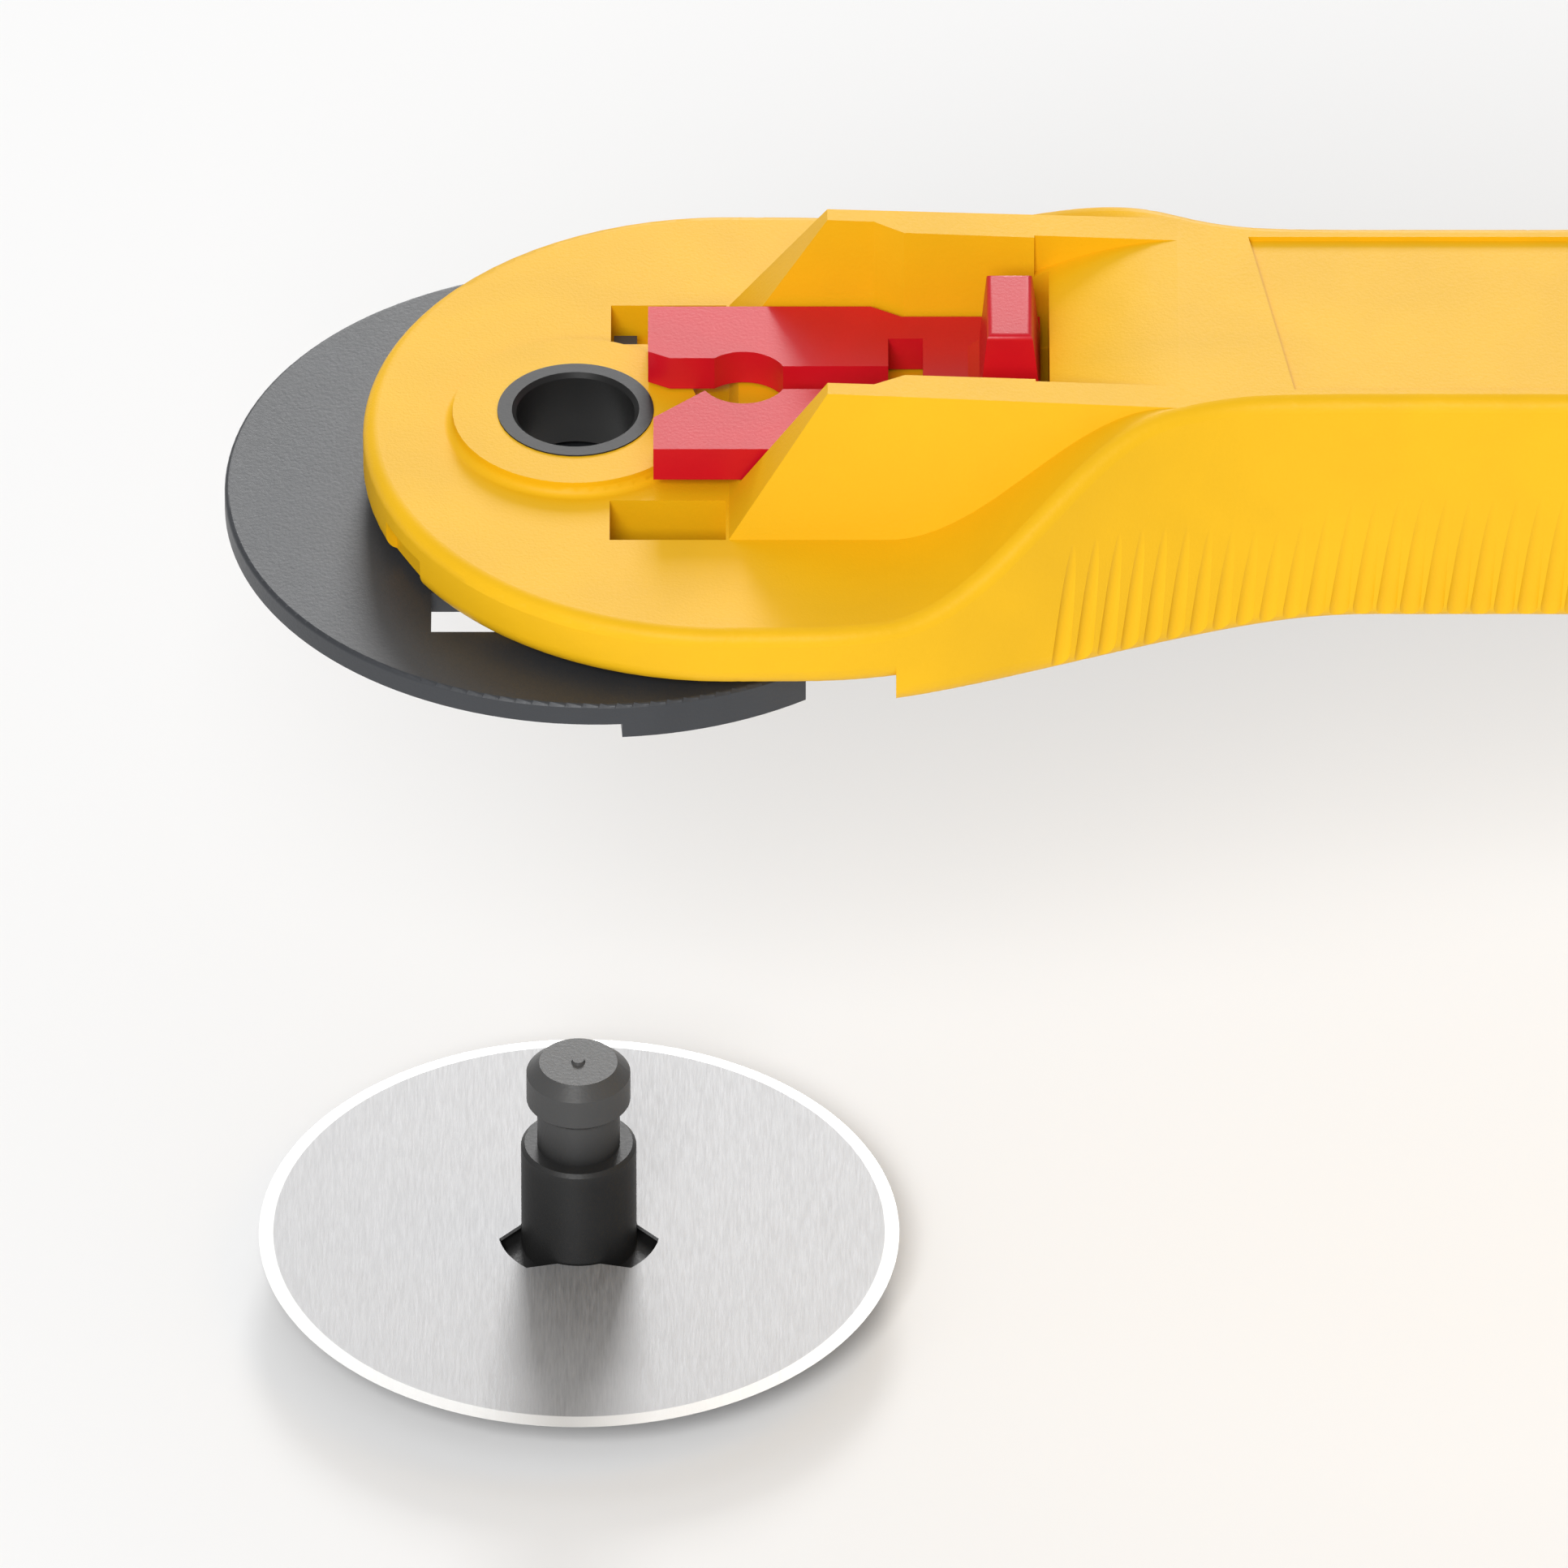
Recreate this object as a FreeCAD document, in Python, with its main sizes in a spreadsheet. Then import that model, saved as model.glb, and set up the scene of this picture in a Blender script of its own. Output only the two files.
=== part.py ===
import FreeCAD, Part
import math
import os
import Sketcher
from FreeCAD import Rotation, Vector

# A rotary cutter with a quick-change blade, shown at the moment the blade is changed.
# Every piece is drawn with the blade's axis on its local Z axis and the top face of the
# head plate at Z = 0.  +X runs along the handle, away from the blade.  The placement
# moves that point to the row's own origin, which is the middle of the grip.

doc = FreeCAD.newDocument("rotary_cutter")

# ---------------------------------------------------------------- sizes, in mm
SIZES = [
    ("grip_x", 92.0),              # blade axis to the middle of the grip
    ("grip_z", 0.5),               # head plate top to the middle of the grip
    ("head_radius", 25.0),
    ("head_centre_x", 10.3),
    ("plate_thickness", 4.6),
    ("step_x", 22.1),              # where the underside steps down behind the guard
    ("step_depth", 1.9),
    ("flare_low_start", 19.0),
    ("flare_low_end", 55.0),
    ("flare_top_start", 15.0),
    ("flare_top_end", 48.0),
    ("grip_half_low", 12.3),
    ("grip_half_top", 10.2),
    ("palm_x", 112.0),
    ("palm_half_low", 14.4),
    ("palm_half_top", 12.4),
    ("handle_end_x", 143.0),
    ("ramp_start", 21.5),
    ("ramp_end", 41.0),
    ("grip_top_z", 9.3),
    ("grip_low_z", 8.5),
    ("palm_drop", 1.0),
    ("end_fall", 5.0),
    ("end_rise", 2.5),
    ("rim_fillet", 1.0),
    ("belly_fillet", 1.5),
    ("boss_radius", 8.5),
    ("boss_height", 1.0),
    ("boss_foot_fillet", 0.6),
    ("bush_radius", 5.4),
    ("bush_flange_radius", 6.8),
    ("bush_flange_thickness", 0.9),
    ("seat_gap", 0.02),            # bush in its bore, and cover in its rebate
    ("running_gap", 0.05),         # shaft in bush, radial
    ("slide_gap", 0.2),            # between a sliding piece and what guides it
    ("wall_front_x", 10.6),
    ("wall_crest_x", 17.4),
    ("wall_crest_z", 10.3),
    ("wall_foot_half", 13.8),
    ("wall_crest_half", 10.9),
    ("wall_jog_x", 20.6),
    ("jog_length", 2.1),
    ("channel_flare", 1.2),        # how much wider the channel is at the crest
    ("channel_back_gap", 0.6),
    ("slot_start_x", 2.4),
    ("slot_length", 8.0),
    ("slot_inner_half", 9.2),
    ("slot_width", 4.6),
    ("lock_front_x", 5.0),
    ("lock_half", 8.4),
    ("lock_neck_half", 7.2),
    ("lock_thickness", 2.6),
    ("lock_length", 27.1),
    ("lock_seat_x", 11.6),         # seat centre with the lock pulled back = its travel
    ("lock_seat_gap", 0.15),
    ("lock_slit", 2.7),
    ("lock_mouth_half", 4.7),
    ("window_length", 2.4),
    ("window_half", 4.6),
    ("tab_length", 3.4),
    ("tab_half", 3.7),
    ("tab_top_z", 10.0),
    ("keel_length", 4.0),
    ("keel_half", 1.6),
    ("keel_foot_half", 3.0),
    ("keel_foot_thickness", 1.4),
    ("floor_thickness", 2.2),      # channel floor above the keel's pocket
    ("guard_radius", 25.8),
    ("guard_centre_x", 1.5),
    ("guard_thickness", 1.6),
    ("guard_drop", 0.75),          # head plate underside to the guard's face
    ("guard_travel", 6.0),
    ("guard_skirt", 1.1),
    ("skirt_width", 2.6),
    ("blade_dia", 45.0),
    ("blade_thickness", 0.3),
    ("blade_bevel", 1.0),
    ("blade_hole_gap", 0.1),
    ("lobe_radius", 5.7),
    ("blade_gap", 0.15),           # guard underside to the blade
    ("shaft_radius", 4.05),
    ("shoulder_height", 0.7),      # seated pin's shoulder above the head plate
    ("neck_radius", 2.9),
    ("neck_length", 3.2),
    ("cone_length", 0.7),
    ("head_radius_pin", 3.65),
    ("head_length", 2.2),
    ("head_chamfer", 0.9),
    ("flange_radius", 9.5),
    ("flange_thickness", 3.6),
    ("drop", 63.0),                # how far the blade and pin hang below their seat
    ("wall", 2.4),
    ("cover_thickness", 2.2),
    ("cover_front_x", 48.0),
    ("cover_back_x", 122.0),
    ("screw_radius", 1.1),
    ("screw_head_radius", 2.3),
    ("screw_head_thickness", 1.1),
    ("screw_length", 8.0),
    ("post_radius", 3.2),
    ("hang_x", 133.0),
    ("hang_radius", 3.0),
    ("rib_pitch", 1.62),
    ("rib_first_x", 34.0),
    ("rib_last_x", 118.0),
    ("rib_depth", 0.5),              # low on the flank, fading out to nothing above
    ("rib_lean", 6.0),             # degrees
    ("label_depth", 0.35),
    ("label_front_x", 46.5),
    ("label_back_x", 104.0),
    ("label_half", 9.0),
    ("label_lean", 3.0),
    ("thumb_low_z", 6.6),
    ("ledge_width", 0.9),
    ("ledge_thickness", 1.6),
    ("cover_lip", 1.2),
    ("cover_corner", 4.0),
    ("screw_inset", 6.0),
    ("dip_start", 21.0),
    ("dip_end", 33.0),
    ("dip_depth", 0.8),
    ("dip_height", 2.6),
    ("rib_top_z", 2.5),
    ("rib_deep_z", -8.0),          # where the ribs reach their full depth
    ("screw_web", 0.9),            # cover left under a screw's head
    ("screw_gap", 0.15),
    ("bush_proud", 0.1),
    ("lock_rear_inner", 2.3),
    ("lock_front_inner", 1.55),
    ("tab_fillet", 0.4),
    ("keel_split", 0.7),
    ("skirt_angle", 86.0),
    ("guard_fillet", 0.3),
    ("rail_y", 16.0),
    ("rail_width", 1.2),
    ("rail_gap", 0.1),
    ("hook_thickness", 1.1),
    ("hook_gap", 0.1),
    ("hook_lip", 1.1),
    ("guard_window_x", -9.9),
    ("guard_window_length", 7.0),
    ("guard_window_y", 17.2),
    ("guard_window_width", 4.5),
    ("edge_land", 0.01),
    ("lobe_root_angle", 78.0),
    ("lobe_tip_angle", 40.0),
    ("flange_gap", 0.05),            # blade to the flange under it
    ("step_radius", 5.2),
    ("notch_radius", 1.2),
]
V = dict(SIZES)

sheet = doc.addObject("Spreadsheet::Sheet", "sizes")
for row, (alias, value) in enumerate(SIZES, start=1):
    sheet.set("A%d" % row, alias)
    sheet.set("B%d" % row, str(value))
    sheet.setAlias("B%d" % row, alias)
doc.recompute()

# ---------------------------------------------------------------- levels, in mm
plate_low = -V["plate_thickness"]
floor_z = V["boss_height"]
lock_low = floor_z + V["slide_gap"]
lock_top = lock_low + V["lock_thickness"]
guard_top = plate_low - V["guard_drop"]
guard_low = guard_top - V["guard_thickness"]
blade_top = guard_low - V["blade_gap"]
blade_low = blade_top - V["blade_thickness"]
shoulder_z = V["shoulder_height"]
bush_bore = V["shaft_radius"] + V["running_gap"]


# ---------------------------------------------------------------- helpers
def body(label, drop_expression=None):
    """A PartDesign body whose blade axis sits grip_x before the row's origin."""
    new = doc.addObject("PartDesign::Body", label)
    new.Label = label
    new.setExpression("Placement.Base.x", "-sizes.grip_x")
    new.setExpression("Placement.Base.z", drop_expression or "-sizes.grip_z")
    return new


def plane_of(owner, role):
    """The body's own origin plane with this role."""
    return [item for item in owner.Origin.OriginFeatures if item.Role == role][0]


def sketch(owner, name, role="XY_Plane", level=0.0):
    """An empty sketch on an origin plane, moved along the plane's normal."""
    new = owner.newObject("Sketcher::SketchObject", name)
    new.AttachmentSupport = (plane_of(owner, role), [""])
    new.MapMode = "FlatFace"
    new.AttachmentOffset = FreeCAD.Placement(Vector(0, 0, level), Rotation())
    return new


def polygon(target, points):
    """A closed wire of straight lines."""
    closed = list(points) + [points[0]]
    for first, second in zip(closed, closed[1:]):
        line = Part.LineSegment(Vector(first[0], first[1], 0), Vector(second[0], second[1], 0))
        target.addGeometry(line, False)


def rectangle(target, x_low, x_high, y_low, y_high):
    polygon(target, [(x_low, y_low), (x_high, y_low), (x_high, y_high), (x_low, y_high)])


def circle(target, x, y, size, value):
    """A circle whose radius is bound to the named size."""
    index = target.addGeometry(Part.Circle(Vector(x, y, 0), Vector(0, 0, 1), value), False)
    number = target.addConstraint(Sketcher.Constraint("Radius", index, value))
    target.setExpression("Constraints[%d]" % number, size)
    return index


def pad(owner, profile, name, length, reverse=False, midplane=False):
    """A pad of a sketch; length is an expression or a number."""
    new = owner.newObject("PartDesign::Pad", name)
    new.Profile = profile
    set_length(new, length)
    new.Reversed = reverse
    new.Midplane = midplane
    owner.Tip = new
    doc.recompute()
    return new


def pocket(owner, profile, name, length, reverse=False, midplane=False):
    """A pocket of a sketch; length is an expression or a number."""
    before = owner.Shape.Volume
    new = owner.newObject("PartDesign::Pocket", name)
    new.Profile = profile
    set_length(new, length)
    new.Reversed = reverse
    new.Midplane = midplane
    owner.Tip = new
    doc.recompute()
    if not owner.Shape.Volume < before:
        raise RuntimeError(name + " removes nothing")
    return new


def set_length(feature, length):
    if isinstance(length, str):
        feature.setExpression("Length", length)
    else:
        feature.Length = length


def loft(owner, profiles, name, kind="Additive"):
    """A ruled loft through sketches, added or subtracted."""
    new = owner.newObject("PartDesign::%sLoft" % kind, name)
    new.Profile = profiles[0]
    new.Sections = profiles[1:]
    new.Ruled = True
    owner.Tip = new
    doc.recompute()
    return new


def revolve(owner, profile, name):
    """A full turn of a sketch on the XZ plane about the blade's axis."""
    new = owner.newObject("PartDesign::Revolution", name)
    new.Profile = profile
    new.ReferenceAxis = (profile, ["V_Axis"])
    new.Angle = 360
    owner.Tip = new
    doc.recompute()
    return new


def edges_where(owner, test):
    """Names of the edges whose bounding box passes the test."""
    found = []
    for number, edge in enumerate(owner.Tip.Shape.Edges, start=1):
        if test(edge, edge.BoundBox):
            found.append("Edge%d" % number)
    return found


def fillet(owner, names, name, radius):
    """A fillet on the named edges of the body's tip."""
    if not names:
        raise RuntimeError(name + " has no edges")
    base = owner.Tip
    new = owner.newObject("PartDesign::Fillet", name)
    new.Base = (base, names)
    set_radius(new, radius)
    owner.Tip = new
    doc.recompute()
    return new


def set_radius(feature, radius):
    if isinstance(radius, str):
        feature.setExpression("Radius", radius)
    else:
        feature.Radius = radius


def near(first, second, tolerance=0.01):
    return abs(first - second) < tolerance


def blend(x, start, end):
    """1 before start, 0 after end, and a smooth cosine between."""
    share = min(max((x - start) / (end - start), 0.0), 1.0)
    return 0.5 * (1.0 + math.cos(math.pi * share))


def half_width(x, low):
    """Half the handle's width at x, at its low or its top outline."""
    side = "low" if low else "top"
    grip = V["grip_half_" + side]
    palm = V["palm_half_" + side]
    flare = blend(x, V["flare_%s_start" % side], V["flare_%s_end" % side])
    swell = 1.0 - blend(x, V["grip_x"] - 26.0, V["palm_x"])
    return grip + (V["head_radius"] - grip) * flare + (palm - grip) * swell


# ---------------------------------------------------------------- handle body
handle = body("handle_body")
BLANK_LOW = -12.0
BLANK_TOP = 12.0


def side_curve(points, start_slope=0.0, end_slope=0.0):
    """A smooth curve through evenly spaced points, with given slopes at its ends."""
    curve = Part.BSplineCurve()
    vectors = [Vector(x, y, 0) for x, y in points]
    curve.interpolate(
        Points=vectors,
        InitialTangent=Vector(1, start_slope, 0),
        FinalTangent=Vector(1, end_slope, 0),
    )
    return curve


def spaced(start, end, step):
    """Evenly spaced values from start to end, about a step apart."""
    count = max(2, int(round((end - start) / step)))
    return [start + (end - start) * number / count for number in range(count + 1)]


def add_arc(target, start, middle, end):
    """Adds an arc through three points to a sketch."""
    points = [Vector(x, y, 0) for x, y in (start, middle, end)]
    target.addGeometry(Part.Arc(*points), False)


def outline(target, low):
    """The handle seen from above: a round head, two mirrored sides and a round end."""
    centre = V["head_centre_x"]
    radius = V["head_radius"]
    end = V["handle_end_x"]
    last = half_width(end, low)
    stations = spaced(centre, end - V["palm_half_low"], 4.0)
    for side in (1, -1):
        points = [(x, side * half_width(x, low)) for x in stations]
        target.addGeometry(side_curve(points), False)
    add_arc(target, (centre, radius), (centre - radius, 0), (centre, -radius))
    x_last = stations[-1]
    add_arc(target, (x_last, last), (x_last + last, 0), (x_last, -last))


low_outline = sketch(handle, "low_outline", level=BLANK_LOW)
outline(low_outline, True)
top_outline = sketch(handle, "top_outline", level=BLANK_TOP)
outline(top_outline, False)
doc.recompute()
loft(handle, [low_outline, top_outline], "blank")
end_x = V["handle_end_x"]
step_low = plate_low - V["step_depth"]


def top_z(x):
    """The handle's top: flat over the head, a ramp to the grip, and a fall to the end."""
    ramp = 1.0 - blend(x, V["ramp_start"], V["ramp_end"])
    fall = 1.0 - blend(x, V["grip_x"] + 8.0, end_x + 16.0)
    return V["grip_top_z"] * ramp - V["end_fall"] * fall


def low_z(x):
    """The handle's underside behind the step: the belly of the grip, rising at the end."""
    belly = 1.0 - blend(x, V["step_x"], V["ramp_end"] + 6.0)
    palm = 1.0 - blend(x, V["grip_x"] - 22.0, V["palm_x"])
    rise = 1.0 - blend(x, V["palm_x"] + 4.0, end_x + 12.0)
    return step_low - (V["grip_low_z"] + step_low) * belly - V["palm_drop"] * palm + V["end_rise"] * rise


def chain(target, pieces):
    """Adds curves as they are and joins their ends, and single points, with straight lines."""
    ends = []
    for piece in pieces:
        if isinstance(piece, tuple):
            ends.append((Vector(piece[0], piece[1], 0),) * 2)
        else:
            target.addGeometry(piece, False)
            ends.append((piece.StartPoint, piece.EndPoint))
    for current, following in zip(ends, ends[1:] + ends[:1]):
        if current[1].distanceToPoint(following[0]) > 1e-6:
            target.addGeometry(Part.LineSegment(current[1], following[0]), False)


far = end_x + 10.0
top_cut = sketch(handle, "top_cut", "XZ_Plane")
top_line = side_curve([(x, top_z(x)) for x in spaced(V["ramp_start"], far, 3.0)])
chain(top_cut, [(-30.0, 0.0), top_line, (far, 30.0), (-30.0, 30.0)])
pocket(handle, top_cut, "top", 80.0, midplane=True)
low_cut = sketch(handle, "low_cut", "XZ_Plane")
low_line = side_curve([(x, low_z(x)) for x in spaced(V["step_x"], far, 4.0)])
chain(low_cut, [(-30.0, plate_low), (V["step_x"], plate_low), low_line, (far, -30.0), (-30.0, -30.0)])
pocket(handle, low_cut, "underside", 80.0, midplane=True)

# The grip's long rims are soft before anything is cut into them.
def rim(over):
    """The long edges round the handle's top, or round its underside."""
    def test(edge, box):
        high = box.ZMax > plate_low + 0.5
        across = box.XLength < 0.01
        upright = box.ZLength > box.XLength and box.ZLength < 5.0
        return high == over and not across and not upright
    return test


fillet(handle, edges_where(handle, rim(True)), "top_rim", "sizes.rim_fillet")
fillet(handle, edges_where(handle, rim(False)), "belly_rim", "sizes.belly_fillet")

# Two walls either side of the lock: a block with sloping flanks, cut to their profile.
wall_block = sketch(handle, "wall_section", "YZ_Plane", V["wall_front_x"])
half_low = V["wall_foot_half"]
half_top = V["wall_crest_half"]
polygon(wall_block, [(-half_low, -1.0), (half_low, -1.0), (half_low, 0.0), (half_top, V["wall_crest_z"]),
                     (-half_top, V["wall_crest_z"]), (-half_low, 0.0)])
pad(handle, wall_block, "walls", V["ramp_end"] + 0.5 - V["wall_front_x"])
wall_cut = sketch(handle, "wall_profile", "XZ_Plane")
polygon(wall_cut, [(V["wall_front_x"] - 2.0, 0.0), (V["wall_front_x"], 0.0),
                   (V["wall_crest_x"], V["wall_crest_z"]), (V["ramp_end"] + 0.6, V["grip_top_z"]),
                   (V["ramp_end"] + 0.6, 14.0), (V["wall_front_x"] - 2.0, 14.0)])
pocket(handle, wall_cut, "wall_ends", 60.0, midplane=True)

# The boss round the bore, on the plate.
boss = sketch(handle, "boss_outline")
circle(boss, 0, 0, "sizes.boss_radius", V["boss_radius"])
pad(handle, boss, "boss", "sizes.boss_height")


def is_boss_foot(edge, box):
    return near(box.ZMax, 0.0) and near(box.ZMin, 0.0) and near(box.XMin, -V["boss_radius"], 0.1)


boss_foot = edges_where(handle, is_boss_foot)
fillet(handle, boss_foot, "boss_foot", "sizes.boss_foot_fillet")

# The channel that the lock slides in, wide in front and narrow behind the jog.
wide = V["lock_half"] + V["slide_gap"]
narrow = V["lock_neck_half"] + V["slide_gap"]
jog = V["wall_jog_x"] + V["jog_length"]
channel_back = V["lock_front_x"] + V["lock_length"] + V["channel_back_gap"]


def channel_outline(target, extra):
    front = V["wall_front_x"] - 1.0
    side = [
        (front, wide + extra),
        (V["wall_jog_x"], wide + extra),
        (jog, narrow + extra),
        (channel_back, narrow + extra),
    ]
    polygon(target, side + [(x, -y) for x, y in reversed(side)])


channel_low = sketch(handle, "channel_low", level=floor_z)
channel_outline(channel_low, 0.0)
channel_top = sketch(handle, "channel_top", level=BLANK_TOP)
channel_outline(channel_top, V["channel_flare"])
loft(handle, [channel_low, channel_top], "channel", "Subtractive")

# A hollow for the thumb behind the lock's tab, which runs out smoothly into the grip's top.
thumb_start = channel_back - 1.0
thumb_end = V["ramp_end"] + 1.5
thumb_top_z = V["grip_top_z"] + 0.02
thumb_rise = thumb_top_z - V["thumb_low_z"]
thumb_line = []
for x in spaced(thumb_start, thumb_end, 2.0):
    left = (thumb_end - x) / (thumb_end - thumb_start)
    thumb_line.append((x, thumb_top_z - thumb_rise * left ** 2))
thumb_slope = 2.0 * thumb_rise / (thumb_end - thumb_start)
thumb = sketch(handle, "thumb_ramp", "XZ_Plane")
chain(thumb, [side_curve(thumb_line, thumb_slope, 0.0), (thumb_end, 14.0), (thumb_start, 14.0)])
pocket(handle, thumb, "thumb_ramp_cut", 2.0 * (narrow + V["channel_flare"]), midplane=True)

# Bore for the bush, with a counterbore underneath for its flange.
bore = sketch(handle, "bush_bore", level=12.0)
circle(bore, 0, 0, "sizes.bush_radius + sizes.seat_gap", V["bush_radius"] + V["seat_gap"])
pocket(handle, bore, "bush_bore_cut", 30.0)
counter = sketch(handle, "bush_counterbore", level=plate_low + V["bush_flange_thickness"] + V["seat_gap"])
circle(counter, 0, 0, "sizes.bush_flange_radius + sizes.seat_gap", V["bush_flange_radius"] + V["seat_gap"])
pocket(handle, counter, "bush_counterbore_cut", 10.0)

# Two slots for the guard's hooks; a ledge along each outer side holds the hooks' lips.
slot_end = V["slot_start_x"] + V["slot_length"]
slot_outer = V["slot_inner_half"] + V["slot_width"]
hook_slots = sketch(handle, "hook_slots", level=2.0)
ledge_slots = sketch(handle, "ledge_slots", level=plate_low - 1.0)
for side in (-1, 1):
    rectangle(hook_slots, V["slot_start_x"], slot_end, side * V["slot_inner_half"], side * slot_outer)
    ledge_outer = side * (slot_outer - V["ledge_width"])
    rectangle(ledge_slots, V["slot_start_x"], slot_end, side * V["slot_inner_half"], ledge_outer)
pocket(handle, hook_slots, "hook_slots_cut", 2.0 + V["plate_thickness"] - V["ledge_thickness"])
pocket(handle, ledge_slots, "ledge_slots_cut", V["ledge_thickness"] + 2.0, reverse=True)

# The keel's slot in the channel floor and its pocket, open underneath.
keel_back = V["lock_front_x"] + V["lock_length"] - 0.6
keel_front = keel_back - V["keel_length"]
keel_slot_front = keel_front - V["lock_seat_x"] - V["slide_gap"]
keel_slot = sketch(handle, "keel_slot", level=floor_z + 1.0)
keel_slot_half = V["keel_half"] + V["slide_gap"]
rectangle(keel_slot, keel_slot_front, keel_back + V["slide_gap"], -keel_slot_half, keel_slot_half)
pocket(handle, keel_slot, "keel_slot_cut", 20.0)
keel_pocket = sketch(handle, "keel_pocket", level=floor_z - V["floor_thickness"])
foot_half = V["keel_foot_half"] + V["slide_gap"]
rectangle(keel_pocket, keel_slot_front - 0.6, keel_back + V["slide_gap"] + 0.6, -foot_half, foot_half)
pocket(handle, keel_pocket, "keel_pocket_cut", 20.0)

# The hollow of the grip, with a rebate for its cover and two posts for the screws.
cavity_half = V["grip_half_top"] - V["wall"]
cover_half = cavity_half + V["cover_lip"]
cover_top = -V["grip_low_z"] + V["cover_thickness"]
cavity_top = V["grip_top_z"] - V["wall"] - V["label_depth"]


def rounded(target, x_low, x_high, half, corner):
    """A rectangle with round corners, as one wire."""
    points = []
    for cx, cy, start in ((x_high - corner, half - corner, 0), (x_low + corner, half - corner, 90),
                          (x_low + corner, corner - half, 180), (x_high - corner, corner - half, 270)):
        angles = [math.radians(start + 45.0 * step) for step in range(3)]
        points.append([Vector(cx + corner * math.cos(a), cy + corner * math.sin(a), 0) for a in angles])
    for number, (first, middle, last) in enumerate(points):
        target.addGeometry(Part.Arc(first, middle, last), False)
        following = points[(number + 1) % 4][0]
        target.addGeometry(Part.LineSegment(last, following), False)


rebate = sketch(handle, "cover_rebate", level=cover_top)
rounded(rebate, V["cover_front_x"], V["cover_back_x"], cover_half, V["cover_corner"])
pocket(handle, rebate, "cover_rebate_cut", 10.0)
cavity = sketch(handle, "cavity", level=cavity_top)
lip = V["cover_lip"]
rounded(cavity, V["cover_front_x"] + lip, V["cover_back_x"] - lip, cavity_half, V["cover_corner"] - lip)
pocket(handle, cavity, "cavity_cut", 30.0)
screw_xs = (V["cover_front_x"] + V["screw_inset"], V["cover_back_x"] - V["screw_inset"])
posts = sketch(handle, "screw_posts", level=cover_top + V["seat_gap"])
holes = sketch(handle, "screw_holes", level=cover_top)
for x in screw_xs:
    circle(posts, x, 0, "sizes.post_radius", V["post_radius"])
    circle(holes, x, 0, "sizes.screw_radius + sizes.seat_gap", V["screw_radius"] + V["seat_gap"])
pad(handle, posts, "screw_posts_pad", cavity_top - cover_top + 0.5)
pocket(handle, holes, "screw_holes_cut", V["screw_length"] + 1.0, reverse=True)

# The hole in the end that hangs it up, and the shallow recess for a label.
hang = sketch(handle, "hang_hole", level=20.0)
circle(hang, V["hang_x"], 0, "sizes.hang_radius", V["hang_radius"])
pocket(handle, hang, "hang_hole_cut", 40.0)
label = sketch(handle, "label_recess", level=V["grip_top_z"] - V["label_depth"])
half = V["label_half"]
lean = V["label_lean"]
polygon(label, [
    (V["label_front_x"] + lean, -half), (V["label_back_x"] + lean, -half),
    (V["label_back_x"], half), (V["label_front_x"], half),
])
pocket(handle, label, "label_recess_cut", 5.0, reverse=True)

# A short dip low in the head's rim, on both sides.
dips = sketch(handle, "rim_dips", level=plate_low - 1.0)
for side in (-1, 1):
    corners = []
    for radius in (V["head_radius"] - V["dip_depth"], V["head_radius"] + 2.0):
        for angle in (V["dip_start"], V["dip_end"])[::1 if radius < V["head_radius"] else -1]:
            turn = math.radians(180.0 + side * angle)
            corners.append((V["head_centre_x"] + radius * math.cos(turn), radius * math.sin(turn)))
    polygon(dips, corners)
pocket(handle, dips, "rim_dips_cut", 1.0 + V["dip_height"], reverse=True)

# Grip ribs: round grooves down both flanks, which fade out towards the top.
grooves = []
groove_radius = V["rib_pitch"] * 0.48
groove_low = BLANK_LOW - 1.0
groove_top = V["rib_top_z"]
rib_count = int((V["rib_last_x"] - V["rib_first_x"]) / V["rib_pitch"])


def flank(x, z):
    """Half the handle's width at this x and height."""
    share = (z - BLANK_LOW) / (BLANK_TOP - BLANK_LOW)
    return half_width(x, True) * (1.0 - share) + half_width(x, False) * share


def groove_point(x, z, depth, side):
    """The groove's axis, out along the flank's normal so that it cuts this deep."""
    slope = (flank(x + 0.1, z) - flank(x - 0.1, z)) / 0.2
    length = math.hypot(slope, 1.0)
    out = groove_radius - depth
    return Vector(x - slope / length * out, side * (flank(x, z) + out / length), z)


lean_run = math.tan(math.radians(V["rib_lean"]))
depth_per_z = V["rib_depth"] / (groove_top - V["rib_deep_z"])
low_depth = depth_per_z * (groove_top - groove_low)
for number in range(rib_count):
    x = V["rib_first_x"] + number * V["rib_pitch"]
    for side in (-1, 1):
        low_point = groove_point(x + lean_run * groove_low, groove_low, low_depth, side)
        top_point = groove_point(x + lean_run * groove_top, groove_top, -0.05, side)
        direction = top_point - low_point
        grooves.append(Part.makeCylinder(groove_radius, direction.Length, low_point, direction))

ribs = doc.addObject("Part::Feature", "grip_grooves")
ribs.Label = "grip_grooves"
ribs.Shape = Part.makeCompound(grooves)
ribs.setExpression("Placement.Base.x", "-sizes.grip_x")
ribs.setExpression("Placement.Base.z", "-sizes.grip_z")
handle.Label = "handle_blank"
handle_body = doc.addObject("Part::Cut", "handle_body_cut")
handle_body.Label = "handle_body"
handle_body.Base = handle
handle_body.Tool = ribs
doc.recompute()

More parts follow.
